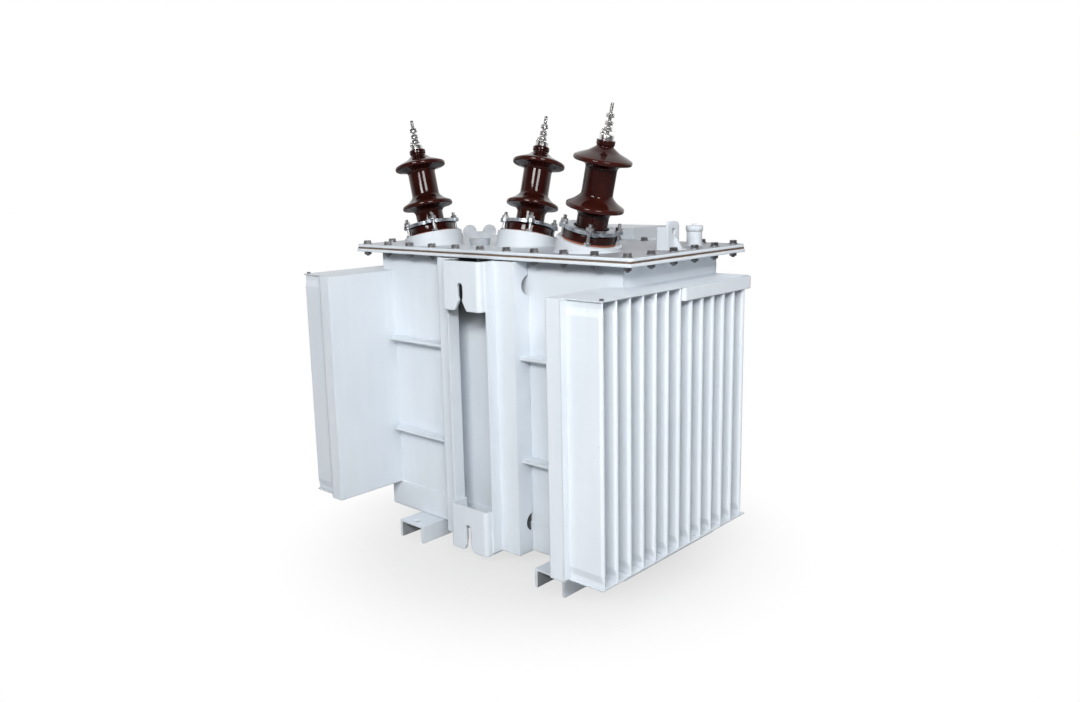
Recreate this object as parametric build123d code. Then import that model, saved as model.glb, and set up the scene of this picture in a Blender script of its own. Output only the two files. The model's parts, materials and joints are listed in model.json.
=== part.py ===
from build123d import *
import os

# Three-phase pole transformer: a welded sheet steel tank with a bolted cover, finned cooling
# wings at both ends that reach forward past the tank, a pole bracket between them, two channel
# feet and three leaning porcelain bushings. Lengths are in millimetres, +Z is up, -Y is the
# pole side, and the origin lies on the ground under the middle of the whole object.

# Tank
tank_length = 883.0
tank_depth = 406.5
tank_sheet = 4.0
pan_sheet = 3.0
pan_floor = 5.0
pan_edge_radius = 6.0
pan_height = 80.4

# Cover joint: rim flange, cork gasket and cover plate
cover_overhang_x = 58.5
cover_overhang_y = 48.75
cover_thickness = 8.0
cover_corner_radius = 10.0
cover_top = 853.0
gasket_thickness = 5.0
gasket_inset = 2.0
flange_thickness = 8.0

# Finned wings
wing_front_overhang = 227.3
wing_box_width = 40.5
wing_sheet = 3.0
wing_top_gap = 54.6
fin_count = 13
fin_depth = 97.0
fin_thickness = 14.0
fin_seam = 4.0
fin_seam_height = 14.0
fin_pinch_height = 18.0
fin_cap_sheet = 3.0
tie_bar_thickness = 4.0
tie_bar_height = 31.0
tie_bar_length = 309.0
tie_bar_bend = 14.0

# Stiffening ribs on the long walls
rib_level_shares = (0.247, 0.636)
rib_thickness = 8.0
rib_depth = 36.0
rib_end_gap = 2.0
rib_end_slant = 20.0

# Pole bracket: two folded rails and two hanger lugs
rail_outer = 141.0
rail_sheet = 6.0
rail_depth = 54.75
rail_lip_depth = 31.0
rail_bottom = 52.0
rail_top_gap = 3.0
drain_notch_radius = 25.0
drain_notch_pan_gap = 3.6
drain_notch_rim_gap = 66.0
lug_half_width = 70.0
lug_plate = 8.0
lug_reach = 106.75
lug_bend_radius = 12.0
lug_slot_width = 20.0
lug_mouth_radius = 10.0
upper_lug_height = 128.0
upper_slot_height = 72.0
upper_slot_neck_width = 13.0
upper_slot_neck_height = 27.0
upper_slot_mouth_width = 44.0
lower_lug_bottom = 46.0
lower_lug_height = 122.0
lower_slot_height = 72.0
lower_slot_mouth_width = 34.0
lower_slot_mouth_height = 14.0

# Feet
foot_width = 100.0
foot_height = 50.0
foot_web = 6.0
foot_flange = 8.0
foot_length = 570.0
foot_inset = 172.5
foot_hole_diameter = 18.0
foot_hole_inset = 24.0

# Bushings, measured along each leaning axis from the top of the cover
outer_bushing_inset = 158.5
outer_bushing_y = -138.0
outer_bushing_lean = 13.0
middle_bushing_y = -56.0
middle_bushing_lean = 15.0
turret_radius = 82.5
turret_height = 27.0
seal_radius = 67.0
seal_thickness = 4.0
shoulder_radius = 64.0
shoulder_height = 22.0
shoulder_chamfer = 6.0
body_radius = 39.0
shed_radius = 72.0
shed_rim = 4.5
shed_rise = 26.0
shed_undercut = 11.0
lower_shed_level = 112.0
upper_shed_level = 226.0
neck_radius = 20.0
neck_level = 258.0
neck_lip_radius = 23.5
neck_lip_height = 14.0
porcelain_top = 276.0
clamp_inner_radius = 45.0
clamp_outer_radius = 68.0
clamp_thickness = 9.0
clamp_ear_radius = 12.0
clamp_ear_count = 4
clamp_ear_turn = 45.0
cap_radius = 20.0
cap_height = 8.0
stud_radius = 5.0
stud_length = 84.0
nut_across = 21.0
nut_height = 8.0
lower_nut_height = 24.0
middle_nut_height = 38.0
upper_nut_height = 56.0

# Fittings on the cover
lift_lug_inset = 59.0
lift_lug_y = -7.0
lift_lug_width = 48.0
lift_lug_return = 26.0
lift_lug_height = 70.0
lift_lug_plate = 8.0
lift_lug_corner = 14.0
lift_lug_hole = 14.0
lift_gusset_reach = 22.0
lift_gusset_height = 34.0
lift_gusset_plate = 6.0
lift_gusset_y = 8.0
filler_inset = 82.0
filler_y = 135.0
filler_radius = 20.0
filler_height = 38.0
filler_cap_radius = 21.5
filler_cap_height = 14.0
filler_knob_radius = 6.0
filler_knob_height = 5.0
switch_turret_gap = 14.5
switch_foot_radius = 25.0
switch_body_radius = 30.0
switch_body_height = 22.0
switch_wing_span = 54.0
switch_wing_radius = 18.0
switch_wing_plate = 14.0
switch_turn = 42.0

# Terminal box behind the tank
box_half_width = 135.0
box_standoff = 52.0
box_depth = 165.0
box_rise = 33.0
box_height = 330.0
box_sheet = 3.0
neck_half_width = 110.0
neck_rim_gap = 42.0
neck_rib_gap = 15.0

# Levels and planes that follow from the sizes above
half_length = tank_length / 2
half_depth = tank_depth / 2
front = -half_depth
cover_half_x = half_length + cover_overhang_x
cover_half_y = half_depth + cover_overhang_y
pan_bottom = foot_height
pan_top = pan_bottom + pan_height
gasket_top = cover_top - cover_thickness
flange_top = gasket_top - gasket_thickness
flange_bottom = flange_top - flange_thickness
wing_bottom = pan_top
wing_top = flange_bottom - wing_top_gap
wing_front = front - wing_front_overhang
wing_inner = half_length - wing_box_width
panel_outer = half_length + wing_sheet
fin_tip = panel_outer + fin_depth
rib_levels = [pan_top + share * (flange_bottom - pan_top) for share in rib_level_shares]
drain_notch_levels = (pan_top + drain_notch_pan_gap, flange_bottom - drain_notch_rim_gap)
rail_front = front - rail_depth
rail_top = flange_bottom - rail_top_gap
lug_front = front - lug_reach
foot_middle = half_length - foot_inset
outer_bushing_x = half_length - outer_bushing_inset
stud_top = porcelain_top + stud_length
lift_lug_x = cover_half_x - lift_lug_inset
filler_x = cover_half_x - filler_inset
switch_x = -turret_radius - switch_turret_gap
box_front = half_depth + box_standoff
box_rear = box_front + box_depth
box_top = cover_top + box_rise
neck_bottom = rib_levels[-1] + rib_thickness + neck_rib_gap
neck_top = flange_bottom - neck_rim_gap
middle_shift = (-wing_front - box_rear) / 2


def block(x0, x1, y0, y1, z0, z1):
    """A plain rectangular solid between two corners."""
    centre = Pos((x0 + x1) / 2, (y0 + y1) / 2, (z0 + z1) / 2)
    return centre * Box(x1 - x0, y1 - y0, z1 - z0)


def save(name, *solids):
    """Writes one piece, with the object's middle over the origin."""
    moved = [Pos(0, middle_shift, 0) * solid for solid in solids]
    shape = moved[0] if len(moved) == 1 else Compound(children=moved)
    export_step(shape, os.path.join("parts", name + ".step"))


def save_both(name, solid):
    """Writes the right-hand piece and its mirror image on the left."""
    save("right_" + name, solid)
    save("left_" + name, mirror(solid, about=Plane.YZ))


def ring_slab(outer_x, outer_y, inner_x, inner_y, z0, z1):
    """A flat rectangular frame."""
    outside = block(-outer_x, outer_x, -outer_y, outer_y, z0, z1)
    return outside - block(-inner_x, inner_x, -inner_y, inner_y, z0, z1)


# Tank shell

def tank_shell():
    floor = pan_bottom + pan_floor
    inner_depth = half_depth - tank_sheet
    inner_length = half_length - tank_sheet
    save("tank_front_wall",
         block(-half_length, half_length, front, front + tank_sheet, floor, flange_bottom))
    save("tank_rear_wall",
         block(-half_length, half_length, inner_depth, half_depth, floor, flange_bottom))
    save_both("tank_end_wall",
              block(inner_length, half_length, -inner_depth, inner_depth, floor, flange_bottom))
    pan_x = half_length + pan_sheet
    pan_y = half_depth + pan_sheet
    pan = block(-pan_x, pan_x, -pan_y, pan_y, pan_bottom, pan_top)
    pan = fillet(pan.edges().group_by(Axis.Z)[0], pan_edge_radius)
    pan -= block(-half_length, half_length, -half_depth, half_depth, floor, pan_top)
    save("base_pan", pan)


def cover_joint():
    half_x = cover_half_x
    half_y = cover_half_y
    inner_x = half_length - tank_sheet
    inner_y = half_depth - tank_sheet
    save("rim_flange", ring_slab(half_x, half_y, inner_x, inner_y, flange_bottom, flange_top))
    save("cover_gasket",
         ring_slab(half_x - gasket_inset, half_y - gasket_inset, inner_x, inner_y,
                   flange_top, gasket_top))
    cover = block(-half_x, half_x, -half_y, half_y, gasket_top, cover_top)
    save("cover_plate", fillet(cover.edges().filter_by(Axis.Z), cover_corner_radius))


# Cooling wings

def fin_section(y, z, thickness):
    """Plan section of one fin: straight flanks that close round the tip."""
    half = thickness / 2
    flank = fin_tip - half
    outline = (Line((half_length, y - half), (flank, y - half))
               + ThreePointArc((flank, y - half), (fin_tip, y), (flank, y + half))
               + Line((flank, y + half), (half_length, y + half))
               + Line((half_length, y + half), (half_length, y - half)))
    return Pos(0, 0, z) * make_face(outline)


def fin(y, z0, z1):
    """A pressed fin, squeezed to a flat welded seam along its top and bottom."""
    full = fin_seam_height + fin_pinch_height
    sections = [fin_section(y, z0, fin_seam),
                fin_section(y, z0 + fin_seam_height, fin_seam),
                fin_section(y, z0 + full, fin_thickness),
                fin_section(y, z1 - full, fin_thickness),
                fin_section(y, z1 - fin_seam_height, fin_seam),
                fin_section(y, z1, fin_seam)]
    return loft(sections, ruled=True)


def tie_bar(y0, y1, z0, z1):
    """A flat bar across the fin tips whose front end is bent in between two fins."""
    outer = fin_tip + tie_bar_thickness
    inner = outer - tie_bar_bend
    outline = Polyline((fin_tip, y1), (outer, y1), (outer, y0 + tie_bar_bend))
    outline += RadiusArc((outer, y0 + tie_bar_bend), (inner, y0), tie_bar_bend)
    outline += Line((inner, y0), (inner, y0 + tie_bar_thickness))
    outline += RadiusArc((inner, y0 + tie_bar_thickness), (fin_tip, y0 + tie_bar_bend),
                         tie_bar_thickness - tie_bar_bend)
    outline += Line((fin_tip, y0 + tie_bar_bend), (fin_tip, y1))
    return Pos(0, 0, z0) * extrude(make_face(outline), z1 - z0)


def wings():
    rear = half_depth
    fin_bottom = wing_bottom + fin_cap_sheet
    fin_top = wing_top - fin_cap_sheet
    pitch = (rear - wing_front) / fin_count
    plate_front = wing_front + (pitch - fin_thickness) / 2
    shell = block(wing_inner, half_length, wing_front, front, wing_bottom, wing_top)
    cavity = block(wing_inner + wing_sheet, half_length, wing_front + wing_sheet, front,
                   wing_bottom + wing_sheet, wing_top - wing_sheet)
    save_both("wing_box", shell - cavity)
    panel = block(half_length, panel_outer, wing_front, rear, fin_bottom, fin_top)
    for index in range(fin_count):
        panel += fin(wing_front + pitch * (index + 1 / 2), fin_bottom, fin_top)
    save_both("fin_panel", panel)
    save_both("fin_top_plate",
              block(half_length, fin_tip, plate_front, rear, fin_top, wing_top))
    save_both("fin_bottom_plate",
              block(half_length, fin_tip, plate_front, rear, wing_bottom, fin_bottom))
    save_both("fin_tie_bar",
              tie_bar(rear - tie_bar_length, rear, fin_top - tie_bar_height, fin_top))


# Ribs

def rib(x0, x1, face, outward, level):
    """A flat bar on edge whose far end is cut back at a slant."""
    depth = rib_depth * outward
    outline = Polyline((x0, face), (x1, face), (x1 - rib_end_slant, face + depth),
                       (x0, face + depth), close=True)
    return Pos(0, 0, level) * extrude(make_face(outline), rib_thickness)


def ribs():
    reach = wing_inner - rib_end_gap
    front_bars = []
    rear_bars = []
    for level in rib_levels:
        bar = rib(rail_outer, reach, front, -1, level)
        front_bars += [bar, mirror(bar, about=Plane.YZ)]
        half_bar = rib(0, reach, half_depth, 1, level)
        rear_bars.append(half_bar + mirror(half_bar, about=Plane.YZ))
    save("front_ribs", *front_bars)
    save("rear_ribs", *rear_bars)


# Pole bracket

def pole_rail():
    """A rail folded from sheet: side web, front face and a lip turned towards the pole."""
    lip_tip = rail_front - rail_lip_depth
    lip = lug_half_width
    outline = Polyline((rail_outer, front), (rail_outer, rail_front),
                       (lip + rail_sheet, rail_front), (lip + rail_sheet, lip_tip),
                       (lip, lip_tip), (lip, rail_front + rail_sheet),
                       (rail_outer - rail_sheet, rail_front + rail_sheet),
                       (rail_outer - rail_sheet, front), close=True)
    rail = extrude(Pos(0, 0, rail_bottom) * make_face(outline), rail_top - rail_bottom)
    pan_face = front - pan_sheet
    rail -= block(0, rail_outer, pan_face, front, rail_bottom, pan_top)
    for level in drain_notch_levels:
        bore = Cylinder(drain_notch_radius, rail_sheet * 2, rotation=(0, 90, 0))
        rail -= Pos(rail_outer - rail_sheet / 2, front, level) * bore
    save_both("pole_rail", rail)


def hanger_lug(z0, height, slot):
    """A plate bent into a U that stands off the rails, with a slot open at its lower edge."""
    rear = rail_front + rail_sheet
    inner = lug_half_width - lug_plate
    shell = block(-lug_half_width, lug_half_width, lug_front, rear, z0, z0 + height)
    corners = shell.edges().filter_by(Axis.Z).group_by(Axis.Y)[0]
    shell = fillet(corners, lug_bend_radius)
    shell -= block(-inner, inner, lug_front + lug_plate, rear, z0, z0 + height)
    cutter = extrude(Plane.XZ * slot, lug_plate * 2, both=True)
    lug = shell - Pos(0, lug_front, z0) * cutter
    lower_edges = lug.edges().filter_by(Axis.Y).group_by(Axis.Z)[0]
    mouth = lower_edges.sort_by(lambda edge: abs(edge.center().X))[:2]
    return fillet(mouth, lug_mouth_radius)


def upper_slot():
    """A keyhole: a round-topped slot above a narrow neck and a flared mouth."""
    half = lug_slot_width / 2
    neck = upper_slot_neck_width / 2
    mouth = upper_slot_mouth_width / 2
    crown = upper_slot_height - half
    outline = (Polyline((-mouth, 0), (mouth, 0), (neck, upper_slot_neck_height),
                        (half, upper_slot_neck_height + half), (half, crown))
               + ThreePointArc((half, crown), (0, upper_slot_height), (-half, crown))
               + Polyline((-half, crown), (-half, upper_slot_neck_height + half),
                          (-neck, upper_slot_neck_height), (-mouth, 0)))
    return make_face(outline)


def lower_slot():
    """A round-topped slot with a flared mouth."""
    half = lug_slot_width / 2
    mouth = lower_slot_mouth_width / 2
    crown = lower_slot_height - half
    outline = (Polyline((-mouth, 0), (mouth, 0), (half, lower_slot_mouth_height), (half, crown))
               + ThreePointArc((half, crown), (0, lower_slot_height), (-half, crown))
               + Polyline((-half, crown), (-half, lower_slot_mouth_height), (-mouth, 0)))
    return make_face(outline)


def pole_bracket():
    pole_rail()
    save("upper_hanger_lug",
         hanger_lug(rail_top - upper_lug_height, upper_lug_height, upper_slot()))
    save("lower_hanger_lug", hanger_lug(lower_lug_bottom, lower_lug_height, lower_slot()))


# Feet

def feet():
    x0 = foot_middle - foot_width / 2
    x1 = foot_middle + foot_width / 2
    half = foot_length / 2
    foot = block(x0, x1, -half, half, 0, foot_height)
    foot -= block(x0 + foot_flange, x1 - foot_flange, -half, half, 0, foot_height - foot_web)
    for end in (-1, 1):
        hole = Cylinder(foot_hole_diameter / 2, foot_height * 2)
        foot -= Pos(foot_middle, end * (half - foot_hole_inset), foot_height) * hole
    save_both("foot", foot)


# Bushings

def porcelain_profile():
    """Half outline of the insulator: shoulder, waist, two sheds and a narrow lipped neck."""
    seat = turret_height + seal_thickness
    shoulder = seat + shoulder_height
    points = [(0, seat), (shoulder_radius, seat),
              (shoulder_radius, shoulder - shoulder_chamfer),
              (shoulder_radius - shoulder_chamfer, shoulder), (body_radius, shoulder)]
    outline = Polyline(*points)
    at = (body_radius, shoulder)
    for level, top_radius, top_level in (
            (lower_shed_level, body_radius, lower_shed_level + shed_rise),
            (upper_shed_level, neck_radius, neck_level)):
        under = (body_radius, level - shed_undercut)
        rim_low = (shed_radius - shed_rim, level - shed_rim)
        rim_high = (shed_radius - shed_rim, level + shed_rim)
        top = (top_radius, top_level)
        sag = ((rim_high[0] + top[0]) / 2 - shed_rim, (rim_high[1] + top[1]) / 2 - shed_rim)
        outline += Line(at, under)
        outline += Line(under, rim_low)
        outline += ThreePointArc(rim_low, (shed_radius, level), rim_high)
        outline += ThreePointArc(rim_high, sag, top)
        at = top
    lip_low = porcelain_top - neck_lip_height
    outline += Polyline(at, (neck_lip_radius, lip_low), (neck_lip_radius, porcelain_top),
                        (0, porcelain_top), (0, seat))
    return make_face(Plane.XZ * outline)


def clamp_ring():
    """A galvanized ring with rounded ears for its bolts."""
    seat = turret_height + seal_thickness + shoulder_height
    shape = Circle(clamp_outer_radius)
    for ear in PolarLocations(clamp_outer_radius, clamp_ear_count, clamp_ear_turn):
        shape += ear * Circle(clamp_ear_radius)
    shape -= Circle(clamp_inner_radius)
    return Pos(0, 0, seat) * extrude(shape, clamp_thickness)


def terminal():
    """Metal cap, threaded stud and hexagon nuts on top of the insulator."""
    def upright(radius, z0, z1):
        return Pos(0, 0, (z0 + z1) / 2) * Cylinder(radius, z1 - z0)
    metal = upright(cap_radius, porcelain_top, porcelain_top + cap_height)
    metal += upright(stud_radius, porcelain_top, stud_top)
    for height in (lower_nut_height, middle_nut_height, upper_nut_height):
        nut = extrude(RegularPolygon(nut_across / 2, 6, major_radius=False), nut_height)
        metal += Pos(0, 0, porcelain_top + height - nut_height / 2) * nut
    return metal


def bushing(name, x, y, lean_x, lean_y):
    """One bushing on its turret, leaning by the two angles about its foot on the cover."""
    foot = Pos(x, y, cover_top) * Rot(-lean_y, lean_x, 0)
    turret = Pos(0, 0, turret_height - turret_radius) * Cylinder(
        turret_radius, turret_radius, align=(Align.CENTER, Align.CENTER, Align.MIN))
    turret = foot * turret
    turret = split(turret, bisect_by=Plane.XY.offset(cover_top), keep=Keep.TOP)
    save(name + "_turret", turret)
    seal = Cylinder(seal_radius, seal_thickness, align=(Align.CENTER, Align.CENTER, Align.MIN))
    save(name + "_seal", foot * Pos(0, 0, turret_height) * seal)
    save(name + "_porcelain", foot * revolve(porcelain_profile(), Axis.Z))
    save(name + "_clamp_ring", foot * clamp_ring())
    save(name + "_terminal", foot * terminal())


def bushings():
    bushing("left", -outer_bushing_x, outer_bushing_y, -outer_bushing_lean, 0)
    bushing("middle", 0, middle_bushing_y, 0, middle_bushing_lean)
    bushing("right", outer_bushing_x, outer_bushing_y, outer_bushing_lean, 0)


# Fittings on the cover

def lifting_lug():
    """A bent plate: an upright with an eye, a return that stiffens it and a gusset."""
    half = lift_lug_width / 2
    y0 = lift_lug_y - half
    top = cover_top + lift_lug_height
    upright = block(lift_lug_x, lift_lug_x + lift_lug_plate, y0, y0 + lift_lug_width,
                    cover_top, top)
    upper = upright.edges().filter_by(Axis.X).group_by(Axis.Z)[-1]
    upright = fillet(upper, lift_lug_corner)
    back = block(lift_lug_x - lift_lug_return, lift_lug_x, y0, y0 + lift_lug_plate,
                 cover_top, top - lift_lug_corner)
    eye = Cylinder(lift_lug_hole / 2, lift_lug_plate * 4, rotation=(0, 90, 0))
    upright -= Pos(lift_lug_x, lift_lug_y, top - lift_lug_width / 2) * eye
    face = lift_lug_x + lift_lug_plate
    rise = Polyline((face, cover_top), (face + lift_gusset_reach, cover_top),
                    (face, cover_top + lift_gusset_height), close=True)
    gusset = extrude(make_face(Plane.XZ * rise), lift_gusset_plate / 2, both=True)
    return upright + back + Pos(0, lift_lug_y + lift_gusset_y, 0) * gusset


def filler():
    standing = (Align.CENTER, Align.CENTER, Align.MIN)
    foot = Pos(filler_x, filler_y, cover_top)
    save("filler_pipe", foot * Cylinder(filler_radius, filler_height, align=standing))
    cap = Cylinder(filler_cap_radius, filler_cap_height, align=standing)
    cap += Pos(0, 0, filler_cap_height) * Cylinder(
        filler_knob_radius, filler_knob_height, align=standing)
    save("filler_cap", foot * Pos(0, 0, filler_height) * cap)


def tap_switch():
    """A flared round body under a turned handle with two rounded wings."""
    standing = (Align.CENTER, Align.CENTER, Align.MIN)
    foot = Pos(switch_x, outer_bushing_y, cover_top)
    body = Cone(switch_foot_radius, switch_body_radius, switch_body_height, align=standing)
    save("tap_switch_base", foot * body)
    half = switch_wing_span / 2
    bar = Pos(0, switch_wing_radius / 2) * Rectangle(switch_wing_span, switch_wing_radius)
    wings = bar + Pos(-half, switch_wing_radius) * Circle(switch_wing_radius)
    wings += Pos(half, switch_wing_radius) * Circle(switch_wing_radius)
    handle = extrude(Plane.XZ * wings, switch_wing_plate / 2, both=True)
    save("tap_switch_handle", foot * Pos(0, 0, switch_body_height) * Rot(0, 0, switch_turn) * handle)


def cover_fittings():
    save_both("lifting_lug", lifting_lug())
    filler()
    tap_switch()


# Terminal box

def terminal_box():
    box = block(-box_half_width, box_half_width, box_front, box_rear, box_top - box_height, box_top)
    inner = box_half_width - box_sheet
    box -= block(-inner, inner, box_front + box_sheet, box_rear - box_sheet,
                 box_top - box_height + box_sheet, box_top - box_sheet)
    save("terminal_box", box)
    throat = block(-neck_half_width, neck_half_width, half_depth, box_front, neck_bottom, neck_top)
    hollow = neck_half_width - box_sheet
    throat -= block(-hollow, hollow, half_depth, box_front,
                    neck_bottom + box_sheet, neck_top - box_sheet)
    save("terminal_box_neck", throat)


os.makedirs("parts", exist_ok=True)
tank_shell()
cover_joint()
wings()
ribs()
pole_bracket()
feet()
bushings()
cover_fittings()
terminal_box()
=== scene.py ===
"""A pole-mounted power transformer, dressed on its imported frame. Lengths are in metres."""
import json
import math

import bpy
import numpy as np
from mathutils import Matrix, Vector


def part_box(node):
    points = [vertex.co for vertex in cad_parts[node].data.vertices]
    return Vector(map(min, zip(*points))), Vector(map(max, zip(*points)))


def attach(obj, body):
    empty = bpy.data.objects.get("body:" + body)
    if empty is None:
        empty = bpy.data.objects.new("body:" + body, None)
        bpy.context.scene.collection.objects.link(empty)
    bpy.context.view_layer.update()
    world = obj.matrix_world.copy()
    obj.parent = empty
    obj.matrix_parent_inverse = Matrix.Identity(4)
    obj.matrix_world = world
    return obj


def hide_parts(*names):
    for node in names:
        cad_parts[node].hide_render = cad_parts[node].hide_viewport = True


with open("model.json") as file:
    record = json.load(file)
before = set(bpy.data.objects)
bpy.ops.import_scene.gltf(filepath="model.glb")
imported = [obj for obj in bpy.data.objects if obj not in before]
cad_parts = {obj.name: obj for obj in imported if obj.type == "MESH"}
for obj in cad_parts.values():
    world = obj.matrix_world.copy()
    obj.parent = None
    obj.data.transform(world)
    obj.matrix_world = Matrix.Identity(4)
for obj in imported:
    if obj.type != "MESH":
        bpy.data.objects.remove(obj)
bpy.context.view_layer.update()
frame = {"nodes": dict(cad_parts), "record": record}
nodes = frame["nodes"]
mounts = {mount["name"]: mount for mount in frame["record"]["mounts"]}
scene = bpy.context.scene


# Camera: stands in front of the right-hand corner, a little above the cover's level, and looks
# slightly down and slightly tilted. The image is 1080 pixels wide and 702 high.
camera_place = np.array((1.69853, -1.87179, 1.03))
camera_right = np.array((0.7424, 0.6697, -0.0201))
camera_up = np.array((-0.1062, 0.1471, 0.9834))
image_width = 1080
focal_pixels = 902.94
camera_rise_pixels = 6.02
sensor_millimetres = 36

lens = bpy.data.cameras.new("camera")
lens.sensor_width = sensor_millimetres
lens.lens = focal_pixels / image_width * sensor_millimetres
lens.shift_y = -camera_rise_pixels / image_width
camera = bpy.data.objects.new("camera", lens)
camera_right /= np.linalg.norm(camera_right)
camera_back = np.cross(camera_right, camera_up)
camera_back /= np.linalg.norm(camera_back)
camera_up = np.cross(camera_back, camera_right)
camera_turn = np.eye(4)
camera_turn[:3] = np.stack((camera_right, camera_up, camera_back, camera_place), 1)
camera.matrix_world = Matrix(camera_turn.tolist())
scene.collection.objects.link(camera)
scene.camera = camera


# Tank: four walls of 4 mm sheet seam-welded into a box and set in a pressed base pan. Once the
# welding is done, the tank and everything welded to it is sprayed with one pale grey enamel.
class Shade:
    """A shader socket that takes part in sums: each operator adds one Math node."""

    def __init__(self, tree, socket):
        self.tree = tree
        self.socket = socket

    def node(self, kind, settings, sockets, result=0):
        """Adds any node: its settings first, then the values or links of its sockets."""
        made = self.tree.nodes.new("ShaderNode" + kind)
        for name, value in settings.items():
            setattr(made, name, value)
        for name, value in sockets.items():
            if isinstance(value, Shade):
                self.tree.links.new(value.socket, made.inputs[name])
            else:
                made.inputs[name].default_value = value
        return Shade(self.tree, made.outputs[result])

    def math(self, operation, *values):
        return self.node("Math", {"operation": operation}, dict(enumerate(values)))

    def __add__(self, other):
        return self.math("ADD", self, other)

    def __radd__(self, other):
        return self.math("ADD", other, self)

    def __sub__(self, other):
        return self.math("SUBTRACT", self, other)

    def __rsub__(self, other):
        return self.math("SUBTRACT", other, self)

    def __mul__(self, other):
        return self.math("MULTIPLY", self, other)

    def __rmul__(self, other):
        return self.math("MULTIPLY", other, self)

    def noise(self, scale, detail=2.0, rough=0.5):
        """Cloud noise over this position, from about 0.25 to 0.75."""
        return self.node("TexNoise", {}, {"Vector": self, "Scale": scale, "Detail": detail,
                                          "Roughness": rough})

    def stretched(self, x, y, z):
        """This position with its three lengths multiplied."""
        return self.node("VectorMath", {"operation": "MULTIPLY"}, {0: self, 1: (x, y, z)})

    def step(self, low, high):
        """0 where this value is under low, 1 over high, and a smooth slope between."""
        return self.node("MapRange", {"interpolation_type": "SMOOTHSTEP"},
                         {"Value": self, "From Min": low, "From Max": high})

    def within(self, low, high, edge):
        """1 where this value lies from low to high, and a slope to 0 over an edge on each side."""
        return self.step(low - edge, low) * (1.0 - self.step(high, high + edge))

    def blend(self, first, second):
        """The first colour where this value is 0 and the second where it is 1."""
        return self.node("Mix", {"data_type": "RGBA"}, {0: self, 6: first, 7: second}, 2)

    def bump(self, height, strength, under=None):
        """A normal raised by this value times height, on top of another normal."""
        sockets = {"Height": self, "Distance": height, "Strength": strength}
        if under is not None:
            sockets["Normal"] = under
        return self.node("Bump", {}, sockets)


def new_finish(name):
    """An empty material: itself, its one shader, and the position on the piece."""
    made = bpy.data.materials.new(name)
    made.use_nodes = True
    tree = made.node_tree
    place = Shade(tree, tree.nodes.new("ShaderNodeTexCoord").outputs["Object"])
    return made, tree.nodes["Principled BSDF"], place


def feed(shader, **values):
    """Sets or links the shader's sockets, written with _ for the spaces in their names."""
    for name, value in values.items():
        socket = shader.inputs[name.replace("_", " ")]
        if isinstance(value, Shade):
            value.tree.links.new(value.socket, socket)
        else:
            socket.default_value = value


tank_low = np.minimum(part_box("tank_front_wall")[0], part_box("left_tank_end_wall")[0])
tank_high = np.maximum(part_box("tank_rear_wall")[1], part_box("right_tank_end_wall")[1])
pan_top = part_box("base_pan")[1][2]
flange_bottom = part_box("rim_flange")[0][2]
cover_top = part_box("cover_plate")[1][2]


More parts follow.
